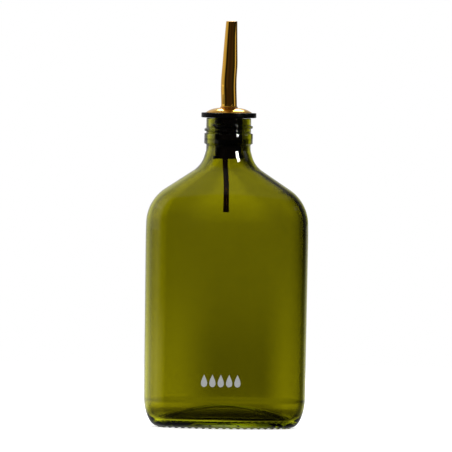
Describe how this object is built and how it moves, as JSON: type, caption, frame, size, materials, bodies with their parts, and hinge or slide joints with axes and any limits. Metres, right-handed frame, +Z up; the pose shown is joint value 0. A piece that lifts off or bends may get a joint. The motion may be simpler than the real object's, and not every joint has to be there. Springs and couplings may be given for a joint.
{
  "type": "oil cruet",
  "caption": "Oval olive glass flask with a screw finish, closed by a black stopper with a gold disc, a slender gold pouring spout and a thin air tube.",
  "frame": {"origin": "middle of the base, on the table", "axes": "+Z up along the neck; +X along the broad width, so that the printed broad front faces -Y"},
  "size_m": [0.1008, 0.052, 0.252],
  "materials": {
    "olive_glass": "clear polished glass",
    "black_rubber": "satin moulded rubber",
    "polished_gold": "polished gold plating",
    "dark_metal": "drawn brass, darkened by oil",
    "pale_print": "thin fired print on the glass"
  },
  "bodies": {
    "root": {"bottle": "olive_glass", "stopper": "black_rubber", "disc": "polished_gold", "spout": "polished_gold", "air_tube": "dark_metal"}
  },
  "joints": []
}
